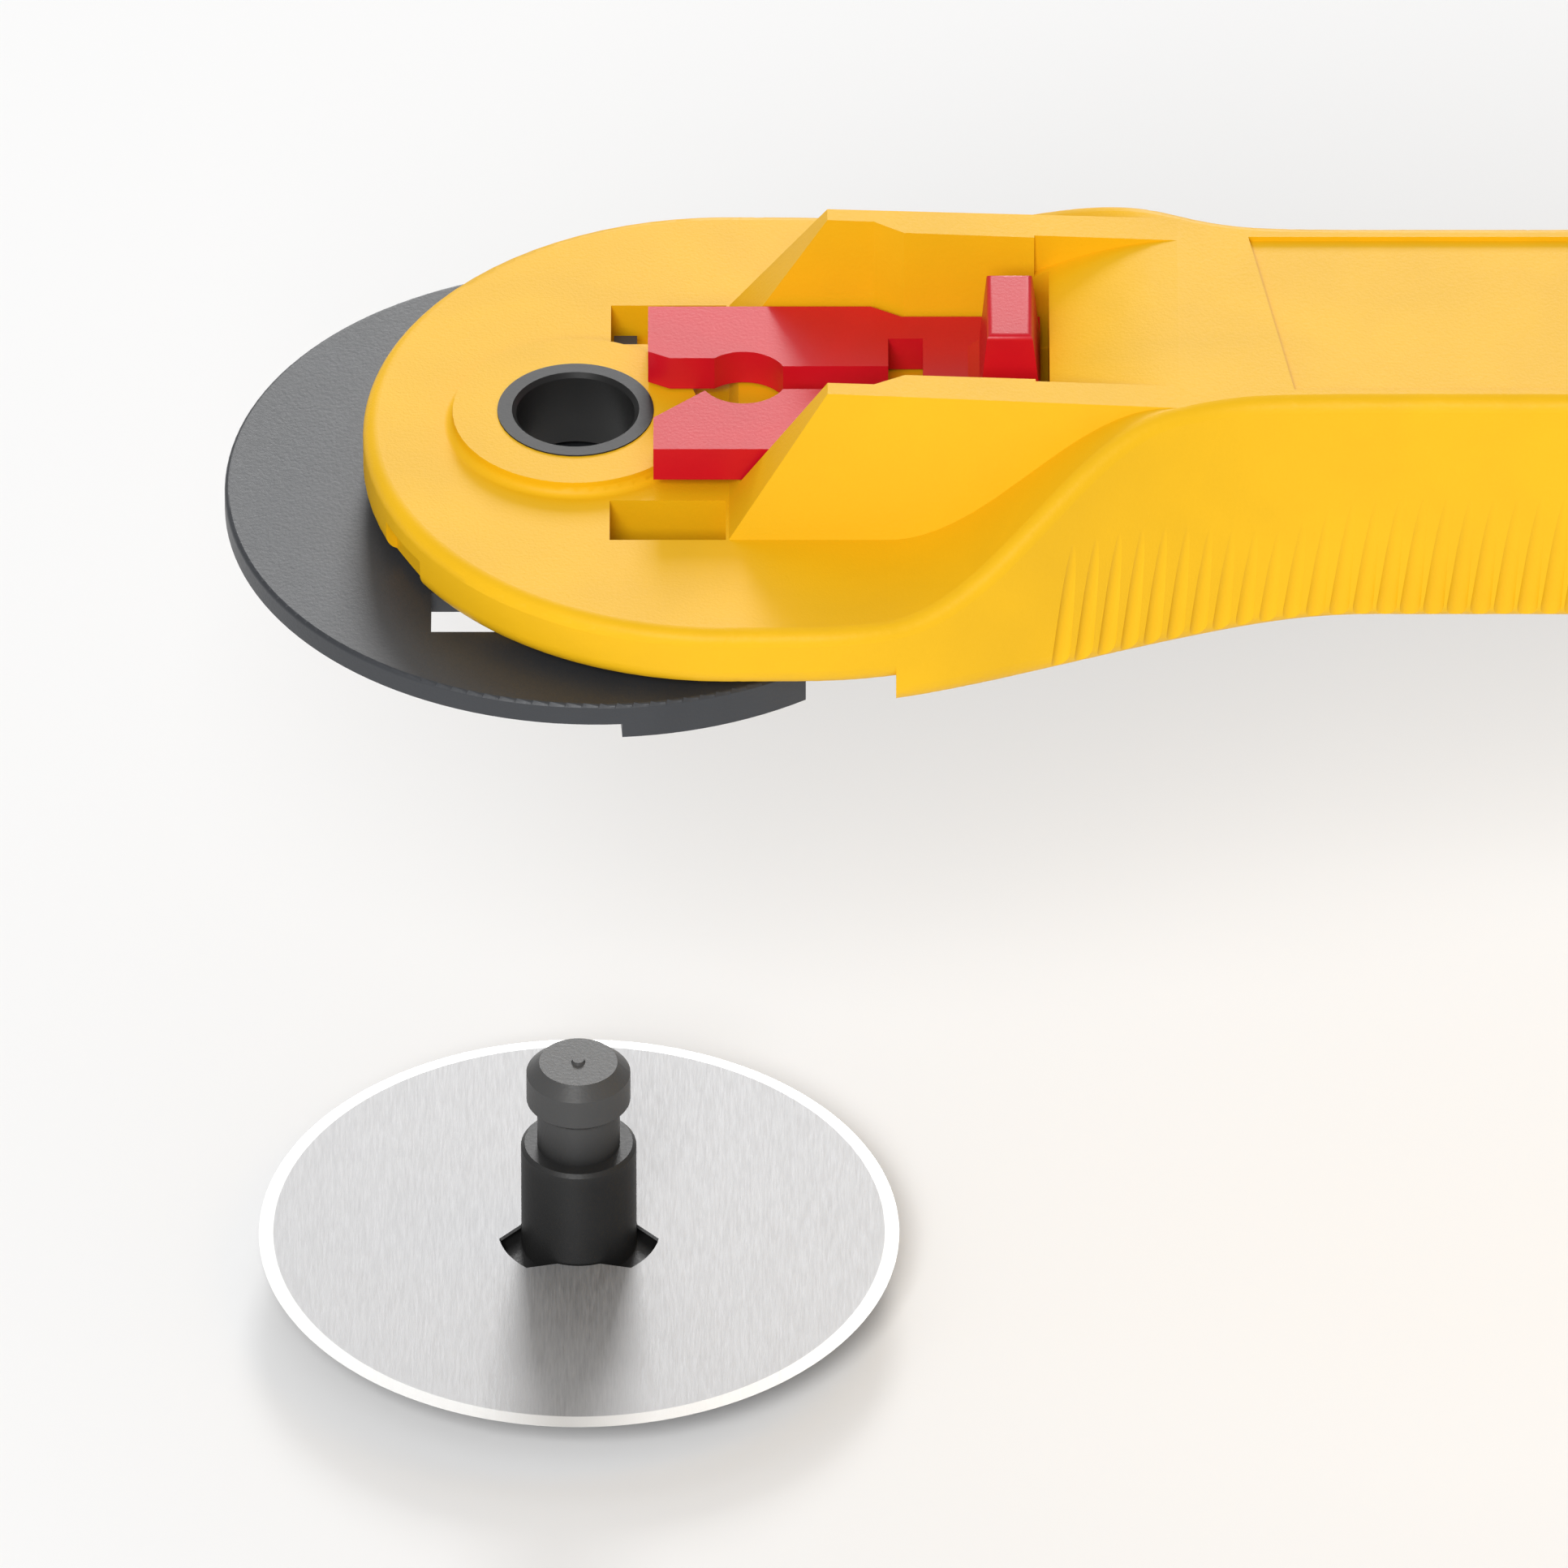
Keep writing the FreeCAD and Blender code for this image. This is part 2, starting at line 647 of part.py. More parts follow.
# ---------------------------------------------------------------- cover under the grip
cover = body("handle_cover")
gap = V["seat_gap"]
cover_face = sketch(cover, "cover_face", level=cover_top - gap)
rounded(cover_face, V["cover_front_x"] + gap, V["cover_back_x"] - gap, cover_half - gap, V["cover_corner"])
pad(cover, cover_face, "cover_plate", 8.0, reverse=True)
cover_under = sketch(cover, "cover_under", "XZ_Plane")
cover_start = V["cover_front_x"] - 2.0
cover_stop = V["cover_back_x"] + 2.0
belly_line = side_curve([(x, low_z(x)) for x in spaced(cover_start, cover_stop, 4.0)])
chain(cover_under, [belly_line, (cover_stop, -30.0), (cover_start, -30.0)])
pocket(cover, cover_under, "cover_belly", 60.0, midplane=True)
head_seat = cover_top - V["screw_web"]
cover_holes = sketch(cover, "cover_holes", level=0.0)
cover_heads = sketch(cover, "cover_heads", level=head_seat)
for x in screw_xs:
    hole_radius = V["screw_radius"] + V["screw_gap"]
    head_radius = V["screw_head_radius"] + V["screw_gap"]
    circle(cover_holes, x, 0, "sizes.screw_radius + sizes.screw_gap", hole_radius)
    circle(cover_heads, x, 0, "sizes.screw_head_radius + sizes.screw_gap", head_radius)
pocket(cover, cover_holes, "cover_holes_cut", 30.0)
pocket(cover, cover_heads, "cover_heads_cut", 10.0)

# ---------------------------------------------------------------- screws
screw_solids = []
for number, x in enumerate(screw_xs, start=1):
    for part_name, radius, height, low in (
        ("shank", "screw_radius", V["screw_length"], head_seat - gap),
        ("head", "screw_head_radius", V["screw_head_thickness"], head_seat - gap - V["screw_head_thickness"]),
    ):
        solid = doc.addObject("Part::Cylinder", "screw_%d_%s" % (number, part_name))
        solid.setExpression("Radius", "sizes." + radius)
        solid.Height = height
        solid.Placement = FreeCAD.Placement(Vector(x - V["grip_x"], 0, low - V["grip_z"]), Rotation())
        screw_solids.append(solid)
screws = doc.addObject("Part::MultiFuse", "cover_screws_fuse")
screws.Label = "cover_screws"
screws.Shapes = screw_solids
doc.recompute()

# ---------------------------------------------------------------- bush in the head
bush = body("pin_bush")
bush_profile = sketch(bush, "bush_profile", "XZ_Plane")
bush_top = floor_z + V["bush_proud"]
flange_top = plate_low + V["bush_flange_thickness"]
polygon(bush_profile, [
    (bush_bore, plate_low),
    (V["bush_flange_radius"], plate_low),
    (V["bush_flange_radius"], flange_top),
    (V["bush_radius"], flange_top),
    (V["bush_radius"], bush_top),
    (bush_bore + 0.3, bush_top),
    (bush_bore, bush_top - 0.3),
])
revolve(bush, bush_profile, "bush_turned")

# ---------------------------------------------------------------- lock slide
lock = body("lock_slide")
front = V["lock_front_x"]
back = front + V["lock_length"]
seat = V["neck_radius"] + V["lock_seat_gap"]
slit = V["lock_slit"] / 2.0
jog_start = V["wall_jog_x"] - V["slide_gap"]
jog_end = jog_start + V["jog_length"]
window_x = V["wall_jog_x"] + 1.0
rear_inner = V["lock_rear_inner"]
front_inner = V["lock_front_inner"]


def seat_point(offset, forward):
    """Where the seat's circle crosses a line at this y, on its front or rear side."""
    run = math.sqrt(seat * seat - offset * offset)
    return (V["lock_seat_x"] + (-run if forward else run), offset)


def seat_arc(start, side, stop):
    """The seat's arc over one side."""
    crown = Vector(V["lock_seat_x"], side * seat, 0)
    return Part.Arc(Vector(start[0], start[1], 0), crown, Vector(stop[0], stop[1], 0))


lock_plan = sketch(lock, "lock_plan", level=lock_low)
rear_arc = seat_arc(seat_point(rear_inner, True), 1, seat_point(slit, False))
front_arc = seat_arc(seat_point(-slit, False), -1, seat_point(-front_inner, True))
chain(lock_plan, [
    (front + 0.4, -V["lock_half"]),
    (jog_start, -V["lock_half"]),
    (jog_end, -V["lock_neck_half"]),
    (back, -V["lock_neck_half"]),
    (back, V["lock_neck_half"]),
    (jog_end, V["lock_neck_half"]),
    (jog_start, V["lock_half"]),
    (front, V["lock_half"]),
    (front, rear_inner + 0.8), (front + 1.5, rear_inner), rear_arc,
    (window_x, slit), (window_x, V["window_half"]), (window_x + V["window_length"], V["window_half"]),
    (window_x + V["window_length"], -V["window_half"]), (window_x, -V["window_half"]), (window_x, -slit),
    front_arc, (front + 3.9, -front_inner), (front + 0.4, -V["lock_mouth_half"]),
])
pad(lock, lock_plan, "lock_plate", "sizes.lock_thickness")
tab = sketch(lock, "thumb_tab", "XZ_Plane")
polygon(tab, [(back - V["tab_length"] - 1.2, lock_top - 0.5), (back, lock_top - 0.5), (back, lock_top + 0.8),
              (back - 0.6, V["tab_top_z"]), (back - 0.6 - V["tab_length"] + 0.3, V["tab_top_z"]),
              (back - V["tab_length"] - 0.8, lock_top + 0.6), (back - V["tab_length"] - 1.6, lock_top)])
pad(lock, tab, "thumb_tab_pad", 2.0 * V["tab_half"], midplane=True)
tab_rim = edges_where(lock, lambda e, b: near(b.ZMin, V["tab_top_z"]))
fillet(lock, tab_rim, "tab_soft_rim", "sizes.tab_fillet")
keel = sketch(lock, "keel", "YZ_Plane", keel_front)
foot_top = floor_z - V["floor_thickness"] - V["slide_gap"]
foot_low = foot_top - V["keel_foot_thickness"]
for side in (-1, 1):
    polygon(keel, [(side * V["keel_split"], lock_low + 0.5), (side * V["keel_half"], lock_low + 0.5),
                   (side * V["keel_half"], foot_top), (side * V["keel_foot_half"], foot_top),
                   (side * V["keel_half"], foot_low), (side * V["keel_split"], foot_low)])
pad(lock, keel, "keel_legs", "sizes.keel_length")

# ---------------------------------------------------------------- blade guard
guard = body("blade_guard")
guard_back = V["step_x"] - V["guard_travel"] - V["slide_gap"]
guard_disc = sketch(guard, "guard_disc", level=guard_low)
circle(guard_disc, V["guard_centre_x"], 0, "sizes.guard_radius", V["guard_radius"])
pad(guard, guard_disc, "guard_plate", "sizes.guard_thickness")
guard_edge = edges_where(guard, lambda e, b: near(b.ZMin, guard_top) and b.XLength > 10.0)
fillet(guard, guard_edge, "guard_soft_edge", "sizes.guard_fillet")
skirt = sketch(guard, "skirt", level=guard_low)
skirt_angle = math.radians(V["skirt_angle"])
inner = V["guard_radius"] - V["skirt_width"]
outer = V["guard_radius"]


def polar(radius, angle):
    return Vector(V["guard_centre_x"] + radius * math.cos(angle), radius * math.sin(angle), 0)


skirt.addGeometry(Part.Arc(polar(outer, -skirt_angle), polar(outer, 0), polar(outer, skirt_angle)), False)
skirt.addGeometry(Part.Arc(polar(inner, -skirt_angle), polar(inner, 0), polar(inner, skirt_angle)), False)
for angle in (-skirt_angle, skirt_angle):
    skirt.addGeometry(Part.LineSegment(polar(inner, angle), polar(outer, angle)), False)
pad(guard, skirt, "guard_skirt_pad", "sizes.guard_skirt", reverse=True)
rails = sketch(guard, "guard_rails", level=guard_top)
for side in (-1, 1):
    rectangle(rails, -6.0, guard_back - 1.0, side * V["rail_y"], side * (V["rail_y"] + V["rail_width"]))
pad(guard, rails, "guard_rails_pad", V["guard_drop"] - V["rail_gap"])
ledge_top = plate_low + V["ledge_thickness"]
hook_outer = slot_outer - V["slide_gap"]
hook_leg_outer = slot_outer - V["ledge_width"] - V["slide_gap"]
hook_inner = hook_leg_outer - V["hook_thickness"]
hook_low = ledge_top + V["hook_gap"]
hook_top = hook_low + V["hook_lip"]
hooks = sketch(guard, "guard_hooks", "YZ_Plane", V["slot_start_x"] + V["slide_gap"])
for side in (-1, 1):
    polygon(hooks, [(side * hook_inner, guard_top - 0.5), (side * hook_leg_outer, guard_top - 0.5),
                    (side * hook_leg_outer, hook_low), (side * hook_outer, hook_low),
                    (side * hook_leg_outer, hook_top), (side * hook_inner, hook_top)])
pad(guard, hooks, "guard_hooks_pad", V["slot_length"] - V["guard_travel"] - 2.0 * V["slide_gap"])
guard_slot = sketch(guard, "guard_slot", level=guard_top + 3.0)
slot_half = V["shaft_radius"] + V["slide_gap"]
travel = V["guard_travel"]
add_arc(guard_slot, (0, -slot_half), (slot_half, 0), (0, slot_half))
add_arc(guard_slot, (-travel, slot_half), (-travel - slot_half, 0), (-travel, -slot_half))
guard_slot.addGeometry(Part.LineSegment(Vector(0, slot_half, 0), Vector(-travel, slot_half, 0)), False)
guard_slot.addGeometry(Part.LineSegment(Vector(-travel, -slot_half, 0), Vector(0, -slot_half, 0)), False)
pocket(guard, guard_slot, "guard_slot_cut", 30.0)
windows = sketch(guard, "guard_windows", level=guard_top + 3.0)
for side in (-1, 1):
    rectangle(windows, V["guard_window_x"], V["guard_window_x"] + V["guard_window_length"],
              side * V["guard_window_y"], side * (V["guard_window_y"] - V["guard_window_width"]))
pocket(guard, windows, "guard_windows_cut", 30.0)
guard_trim = sketch(guard, "guard_trim", level=guard_top + 3.0)
rectangle(guard_trim, guard_back, 60.0, -40.0, 40.0)
pocket(guard, guard_trim, "guard_trim_cut", 30.0)

# ---------------------------------------------------------------- blade, hanging below
HANGING = "-sizes.grip_z - sizes.drop"
blade = body("blade", HANGING)
blade_radius = V["blade_dia"] / 2.0
blade_middle = (blade_top + blade_low) / 2.0
blade_profile = sketch(blade, "blade_profile", "XZ_Plane")
polygon(blade_profile, [
    (0, blade_low),
    (blade_radius - V["blade_bevel"], blade_low),
    (blade_radius, blade_middle - V["edge_land"]),
    (blade_radius, blade_middle + V["edge_land"]),
    (blade_radius - V["blade_bevel"], blade_top),
    (0, blade_top),
])
revolve(blade, blade_profile, "blade_disc")
hole = sketch(blade, "blade_hole", level=blade_top + 1.0)
root = V["shaft_radius"] + V["blade_hole_gap"]
LOBES = 3
for number in range(LOBES):
    middle = math.radians(90.0 + 360.0 * number / LOBES)
    following = middle + math.radians(360.0 / LOBES)
    wide_half = math.radians(V["lobe_root_angle"] / 2.0)
    tip_half = math.radians(V["lobe_tip_angle"] / 2.0)
    corners = [
        (root, middle - wide_half),
        (V["lobe_radius"], middle - tip_half),
        (V["lobe_radius"], middle + tip_half),
        (root, middle + wide_half),
        (root, following - wide_half),
    ]
    p = [Vector(r * math.cos(a), r * math.sin(a), 0) for r, a in corners]
    crown = Vector(V["lobe_radius"] * math.cos(middle), V["lobe_radius"] * math.sin(middle), 0)
    between = (middle + following) / 2.0
    valley = Vector(root * math.cos(between), root * math.sin(between), 0)
    hole.addGeometry(Part.LineSegment(p[0], p[1]), False)
    hole.addGeometry(Part.Arc(p[1], crown, p[2]), False)
    hole.addGeometry(Part.LineSegment(p[2], p[3]), False)
    hole.addGeometry(Part.Arc(p[3], valley, p[4]), False)
pocket(blade, hole, "blade_hole_cut", 5.0)

# ---------------------------------------------------------------- axle pin
pin = body("axle_pin", HANGING)
pin_profile = sketch(pin, "pin_profile", "XZ_Plane")
flange_face = blade_low - V["flange_gap"]
flange_low = flange_face - V["flange_thickness"]
neck_top = shoulder_z + V["neck_length"]
cone_top = neck_top + V["cone_length"]
cap_low = cone_top + V["head_length"]
cap_top = cap_low + V["head_chamfer"]
shaft = V["shaft_radius"]
cap = V["head_radius_pin"]
rim_radius = V["flange_radius"]
polygon(pin_profile, [
    (0, flange_low),
    (rim_radius - 0.8, flange_low),
    (rim_radius, flange_low + 0.8),
    (rim_radius, flange_face - 0.5),
    (rim_radius - 0.5, flange_face),
    (V["step_radius"] + 0.6, flange_face),
    (V["step_radius"], flange_face - 0.6),
    (shaft, flange_face - 0.6),
    (shaft, shoulder_z - 0.25),
    (shaft - 0.25, shoulder_z),
    (V["neck_radius"], shoulder_z),
    (V["neck_radius"], neck_top),
    (cap, cone_top),
    (cap, cap_low),
    (cap - V["head_chamfer"], cap_top),
    (0.5, cap_top),
    (0.4, cap_top + 0.2),
    (0, cap_top + 0.2),
])
revolve(pin, pin_profile, "pin_turned")
notches = sketch(pin, "knob_notches", level=flange_low - 1.0)
NOTCHES = 12
notch_centre = rim_radius + 0.7
for number in range(NOTCHES):
    angle = 2.0 * math.pi * number / NOTCHES
    notch_x = notch_centre * math.cos(angle)
    notch_y = notch_centre * math.sin(angle)
    circle(notches, notch_x, notch_y, "sizes.notch_radius", V["notch_radius"])
pocket(pin, notches, "knob_notches_cut", V["flange_thickness"] + 0.3, reverse=True)

# ---------------------------------------------------------------- check and write
nodes = [handle_body, cover, screws, bush, lock, guard, blade, pin]
doc.recompute()
for item in doc.Objects:
    if "Invalid" in item.State or "Error" in item.State:
        raise RuntimeError("%s is %s" % (item.Name, item.State))
os.makedirs("parts", exist_ok=True)
for node in nodes:
    shape = node.Shape
    if shape.isNull() or not shape.isValid():
        raise RuntimeError(node.Label + " has no valid shape")
    shape.exportStep("parts/%s.step" % node.Label)
    print(node.Label, len(shape.Solids), "solids", round(shape.Volume, 1), "mm3")
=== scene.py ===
"""Looks of a hand-held rotary cutter, shown while its round blade is being changed.

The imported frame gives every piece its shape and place.  This file gives the pieces
their mouldings, steels and small details, and sets them in a plain studio.
"""
import math

import bmesh
import bpy
from mathutils import Matrix, Vector


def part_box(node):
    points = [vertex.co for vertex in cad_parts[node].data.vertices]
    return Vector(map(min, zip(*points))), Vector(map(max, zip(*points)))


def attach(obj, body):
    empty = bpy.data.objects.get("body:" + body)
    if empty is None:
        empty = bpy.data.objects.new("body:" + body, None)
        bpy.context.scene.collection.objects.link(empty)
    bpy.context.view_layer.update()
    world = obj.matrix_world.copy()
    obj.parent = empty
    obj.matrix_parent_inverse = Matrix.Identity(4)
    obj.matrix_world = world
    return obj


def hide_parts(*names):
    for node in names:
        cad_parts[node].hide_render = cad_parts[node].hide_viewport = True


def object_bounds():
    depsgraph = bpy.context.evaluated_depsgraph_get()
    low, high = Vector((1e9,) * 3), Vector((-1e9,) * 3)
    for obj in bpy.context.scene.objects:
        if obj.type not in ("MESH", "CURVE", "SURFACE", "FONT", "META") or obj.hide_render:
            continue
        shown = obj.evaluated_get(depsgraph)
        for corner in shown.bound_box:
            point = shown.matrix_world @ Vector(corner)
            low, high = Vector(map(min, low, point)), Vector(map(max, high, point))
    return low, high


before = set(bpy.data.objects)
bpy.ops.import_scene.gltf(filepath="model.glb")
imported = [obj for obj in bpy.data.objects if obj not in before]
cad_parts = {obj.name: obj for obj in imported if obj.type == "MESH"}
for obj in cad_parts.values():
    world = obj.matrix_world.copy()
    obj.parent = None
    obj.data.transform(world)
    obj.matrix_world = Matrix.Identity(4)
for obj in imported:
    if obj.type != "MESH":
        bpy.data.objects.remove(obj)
CAD_BOX = [list(corner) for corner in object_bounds()]

bl_info = {
    "name": "Rotary Cutter",
    "version": (1, 0, 0),
    "blender": (4, 5, 0),
    "location": "3D View > Sidebar > Rotary Cutter",
    "description": "Finishes a rotary cutter and its studio",
    "category": "Add Mesh",
}

MM = 0.001


# ------------------------------------------------------------------ what a user may change
class CutterColours(bpy.types.PropertyGroup):
    """Colours of the mouldings and metals."""

    def colour(name, description, default):
        return bpy.props.FloatVectorProperty(
            name=name, description=description, default=default, subtype="COLOR", min=0, max=1
        )

    handle: colour("Handle", "Colour of the handle and its cover", (0.88, 0.49, 0.005))
    lock: colour("Lock slide", "Colour of the lock slide", (0.62, 0.006, 0.018))
    guard: colour("Guard", "Colour of the blade guard", (0.036, 0.039, 0.045))
    pin: colour("Axle pin", "Colour of the axle pin", (0.013, 0.013, 0.013))
    bush: colour("Bush", "Colour of the ring that the pin turns in", (0.012, 0.012, 0.012))
    steel: colour("Blade", "Colour of the blade's flat", (0.40, 0.40, 0.405))
    ground: colour("Ground edge", "Colour of the blade's ground edge", (0.86, 0.86, 0.85))
    plating: colour("Screws", "Colour of the plated screws", (0.42, 0.42, 0.43))


class CutterSizes(bpy.types.PropertyGroup):
    """Sizes of the small details."""

    def size(name, description, millimetres):
        return bpy.props.FloatProperty(
            name=name,
            description=description,
            default=millimetres * MM,
            unit="LENGTH",
            subtype="DISTANCE",
            min=0,
        )

    satin: size("Satin grain", "Size of the fine texture on the mouldings", 0.25)
    flow: size("Flow marks", "Size of the faint cloudy marks in the plastic", 9.0)
    blade_grain: size("Blade grain", "Width of one brushed line on the blade", 0.12)
    bevel: size("Ground edge", "Width of the blade's ground edge", 1.0)
    lock_edge: size("Lock edge", "Radius on the edges of the lock slide", 0.22)
    guard_edge: size("Guard edge", "Radius on the edges of the guard", 0.25)
    recess: size("Screw recess", "Reach of the cross in a screw's head", 1.3)


class CutterStudio(bpy.types.PropertyGroup):
    """The floor, the lights and the camera."""

    floor: bpy.props.FloatVectorProperty(
        name="Floor", description="Colour of the floor", default=(0.9, 0.9, 0.9), subtype="COLOR"
    )
    sky: bpy.props.FloatProperty(
        name="Sky", description="Strength of the light from all round", default=0.44, min=0
    )
    back: bpy.props.FloatProperty(
        name="Back light", description="Power of the low light behind", default=8.0, unit="POWER"
    )
    card: bpy.props.FloatProperty(
        name="Back card", description="Power of the large dim card behind", default=3.6, unit="POWER"
    )
    front: bpy.props.FloatProperty(
        name="Front light", description="Power of the softbox in front", default=17.0, unit="POWER"
    )
    elevation: bpy.props.FloatProperty(
        name="Elevation",
        description="Angle of the camera above the floor",
        default=math.radians(36.5),
        subtype="ANGLE",
        unit="ROTATION",
    )
    distance: bpy.props.FloatProperty(
        name="Distance",
        description="From the camera to the middle of its picture",
        default=2.5,
        unit="LENGTH",
        subtype="DISTANCE",
    )
    target: bpy.props.FloatVectorProperty(
        name="Target",
        description="The middle of the camera's picture",
        default=(-0.0776, 0.0, -0.0316),
        subtype="XYZ",
        unit="LENGTH",
    )
    width: bpy.props.FloatProperty(
        name="Width",
        description="Width of what the camera sees at that distance",
        default=0.10915,
        unit="LENGTH",
        subtype="DISTANCE",
    )


# ------------------------------------------------------------------ shader node helpers
def node_in(tree, kind, **values):
    """A new shader node with its properties and input values set."""
    node = tree.nodes.new(kind)
    for key, value in values.items():
        if key in node.inputs:
            node.inputs[key].default_value = value
        else:
            setattr(node, key, value)
    return node


def sockets(group, inputs, outputs):
    """Gives a node group its named inputs (name, kind, default) and outputs (name, kind)."""
    for name, kind, default in inputs:
        made = group.interface.new_socket(name=name, in_out="INPUT", socket_type=kind)
        made.default_value = default
    for name, kind in outputs:
        group.interface.new_socket(name=name, in_out="OUTPUT", socket_type=kind)


def moulded_group():
    """Moulded plastic: faint flow marks in the colour and a satin texture."""
    if "moulded plastic" in bpy.data.node_groups:
        return bpy.data.node_groups["moulded plastic"]
    group = bpy.data.node_groups.new("moulded plastic", "ShaderNodeTree")
    sockets(
        group,
        [
            ("Colour", "NodeSocketColor", (0.5, 0.5, 0.5, 1)),
            ("Flow Colour", "NodeSocketColor", (0.4, 0.4, 0.4, 1)),
            ("Flow Size", "NodeSocketFloat", 0.009),
            ("Roughness", "NodeSocketFloat", 0.4),
            ("Roughness Spread", "NodeSocketFloat", 0.05),
            ("Grain Size", "NodeSocketFloat", 0.0003),
            ("Grain Depth", "NodeSocketFloat", 0.2),
        ],
        [
            ("Colour", "NodeSocketColor"),
            ("Roughness", "NodeSocketFloat"),
            ("Normal", "NodeSocketVector"),
        ],
    )
    tree = group
    link = tree.links.new
    satin_height = 0.04 * MM
    given = tree.nodes.new("NodeGroupInput")
    result = tree.nodes.new("NodeGroupOutput")
    place = node_in(tree, "ShaderNodeTexCoord")

    def per_size(name):
        """One over a size, which is what a noise takes as its scale."""
        over = node_in(tree, "ShaderNodeMath", operation="DIVIDE")
        over.inputs[0].default_value = 1.0
        link(given.outputs[name], over.inputs[1])
        return over.outputs[0]

    flow = node_in(tree, "ShaderNodeTexNoise", Detail=3.0, Roughness=0.5, Distortion=0.4)
    link(place.outputs["Object"], flow.inputs["Vector"])
    link(per_size("Flow Size"), flow.inputs["Scale"])
    spread = node_in(tree, "ShaderNodeMapRange")
    spread.inputs["From Min"].default_value = 0.35
    spread.inputs["From Max"].default_value = 0.68
    link(flow.outputs["Fac"], spread.inputs["Value"])
    tint = node_in(tree, "ShaderNodeMix", data_type="RGBA")
    link(spread.outputs["Result"], tint.inputs["Factor"])
    link(given.outputs["Colour"], tint.inputs["A"])
    link(given.outputs["Flow Colour"], tint.inputs["B"])
    link(tint.outputs["Result"], result.inputs["Colour"])

    grain = node_in(tree, "ShaderNodeTexNoise", Detail=2.0, Roughness=0.6)
    link(place.outputs["Object"], grain.inputs["Vector"])
    link(per_size("Grain Size"), grain.inputs["Scale"])
    uneven = node_in(tree, "ShaderNodeMath", operation="SUBTRACT")
    uneven.inputs[1].default_value = 0.5
    link(grain.outputs["Fac"], uneven.inputs[0])
    scaled = node_in(tree, "ShaderNodeMath", operation="MULTIPLY_ADD")
    link(uneven.outputs[0], scaled.inputs[0])
    link(given.outputs["Roughness Spread"], scaled.inputs[1])
    link(given.outputs["Roughness"], scaled.inputs[2])
    link(scaled.outputs[0], result.inputs["Roughness"])
    bump = node_in(tree, "ShaderNodeBump", Distance=satin_height)
    link(given.outputs["Grain Depth"], bump.inputs["Strength"])
    link(grain.outputs["Fac"], bump.inputs["Height"])
    link(bump.outputs["Normal"], result.inputs["Normal"])
    return group


def plastic(name, colour, flow_colour, roughness, spread, depth, specular=0.5):
    """A moulded plastic with its own colour and gloss."""
    sizes = bpy.context.scene.cutter_sizes
    made = bpy.data.materials.new(name)
    made.use_nodes = True
    tree = made.node_tree
    shader = tree.nodes["Principled BSDF"]
    shader.inputs["Specular IOR Level"].default_value = specular
    skin = tree.nodes.new("ShaderNodeGroup")
    skin.node_tree = moulded_group()
    skin.inputs["Colour"].default_value = (*colour, 1)
    skin.inputs["Flow Colour"].default_value = (*flow_colour, 1)
    skin.inputs["Flow Size"].default_value = sizes.flow
    skin.inputs["Roughness"].default_value = roughness
    skin.inputs["Roughness Spread"].default_value = spread
    skin.inputs["Grain Size"].default_value = sizes.satin
    skin.inputs["Grain Depth"].default_value = depth
    tree.links.new(skin.outputs["Colour"], shader.inputs["Base Color"])
    tree.links.new(skin.outputs["Roughness"], shader.inputs["Roughness"])
    tree.links.new(skin.outputs["Normal"], shader.inputs["Normal"])
    return made


def shade(colour, amount):
    """A colour made darker (below 1) or lighter (above 1)."""
    return tuple(min(1.0, part * amount) for part in colour)


def finish_node(node, material):
    """Puts a material on every slot of a CAD node."""
    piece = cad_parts[node]
    for index in range(len(piece.material_slots)):
        piece.material_slots[index].material = material
    if not piece.material_slots:
        piece.data.materials.append(material)
    return piece


# ------------------------------------------------------------------ mesh helpers
def new_piece(name, mesh_maker, material, body):
    """A piece from a bmesh, with its place in its mesh, riding on a CAD body."""
    bm = bmesh.new()
    mesh_maker(bm)
    mesh = bpy.data.meshes.new(name)
    bm.to_mesh(mesh)
    bm.free()
    mesh.materials.append(material)
    mesh.shade_smooth()
    mesh.set_sharp_from_angle(angle=math.radians(30))
    piece = bpy.data.objects.new(name, mesh)
    bpy.context.scene.collection.objects.link(piece)
    flats = piece.modifiers.new("flat faces stay flat", "WEIGHTED_NORMAL")
    flats.mode = "FACE_AREA_WITH_ANGLE"
    flats.weight = 100
    flats.keep_sharp = True
    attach(piece, body)
    return piece


def merged_copy(bm, node):
    """Copies a CAD node's triangles into the bmesh, welded, with its flat faces made whole."""
    bm.from_mesh(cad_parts[node].data)
    bmesh.ops.remove_doubles(bm, verts=bm.verts, dist=0.002 * MM)
    bmesh.ops.dissolve_limit(
        bm,
        angle_limit=math.radians(0.5),
        use_dissolve_boundaries=False,
        verts=bm.verts,
        edges=bm.edges,
        delimit=set(),
    )


def sharp_edges(bm, angle):
    """The edges whose two faces meet at more than an angle."""
    found = []
    for edge in bm.edges:
        if len(edge.link_faces) == 2 and edge.calc_face_angle(0.0) > angle:
            found.append(edge)
    return found


def soften(bm, radius, segments, angle=math.radians(35)):
    """Rounds the sharp edges of a moulding."""
    bmesh.ops.bevel(
        bm,
        geom=sharp_edges(bm, angle),
        offset=radius,
        offset_type="OFFSET",
        segments=segments,
        profile=0.5,
        affect="EDGES",
        clamp_overlap=True,
        material=-1,
    )


def ring(bm, radius, z, steps=32):
    """A circle of vertices at a height, joined by edges."""
    made = bmesh.ops.create_circle(bm, cap_ends=False, radius=radius, segments=steps)
    bmesh.ops.translate(bm, verts=made["verts"], vec=(0, 0, z))
    return made["verts"]


def edges_among(bm, verts):
    """The edges that join two of these vertices."""
    chosen = set(verts)
    return [edge for edge in bm.edges if edge.verts[0] in chosen and edge.verts[1] in chosen]


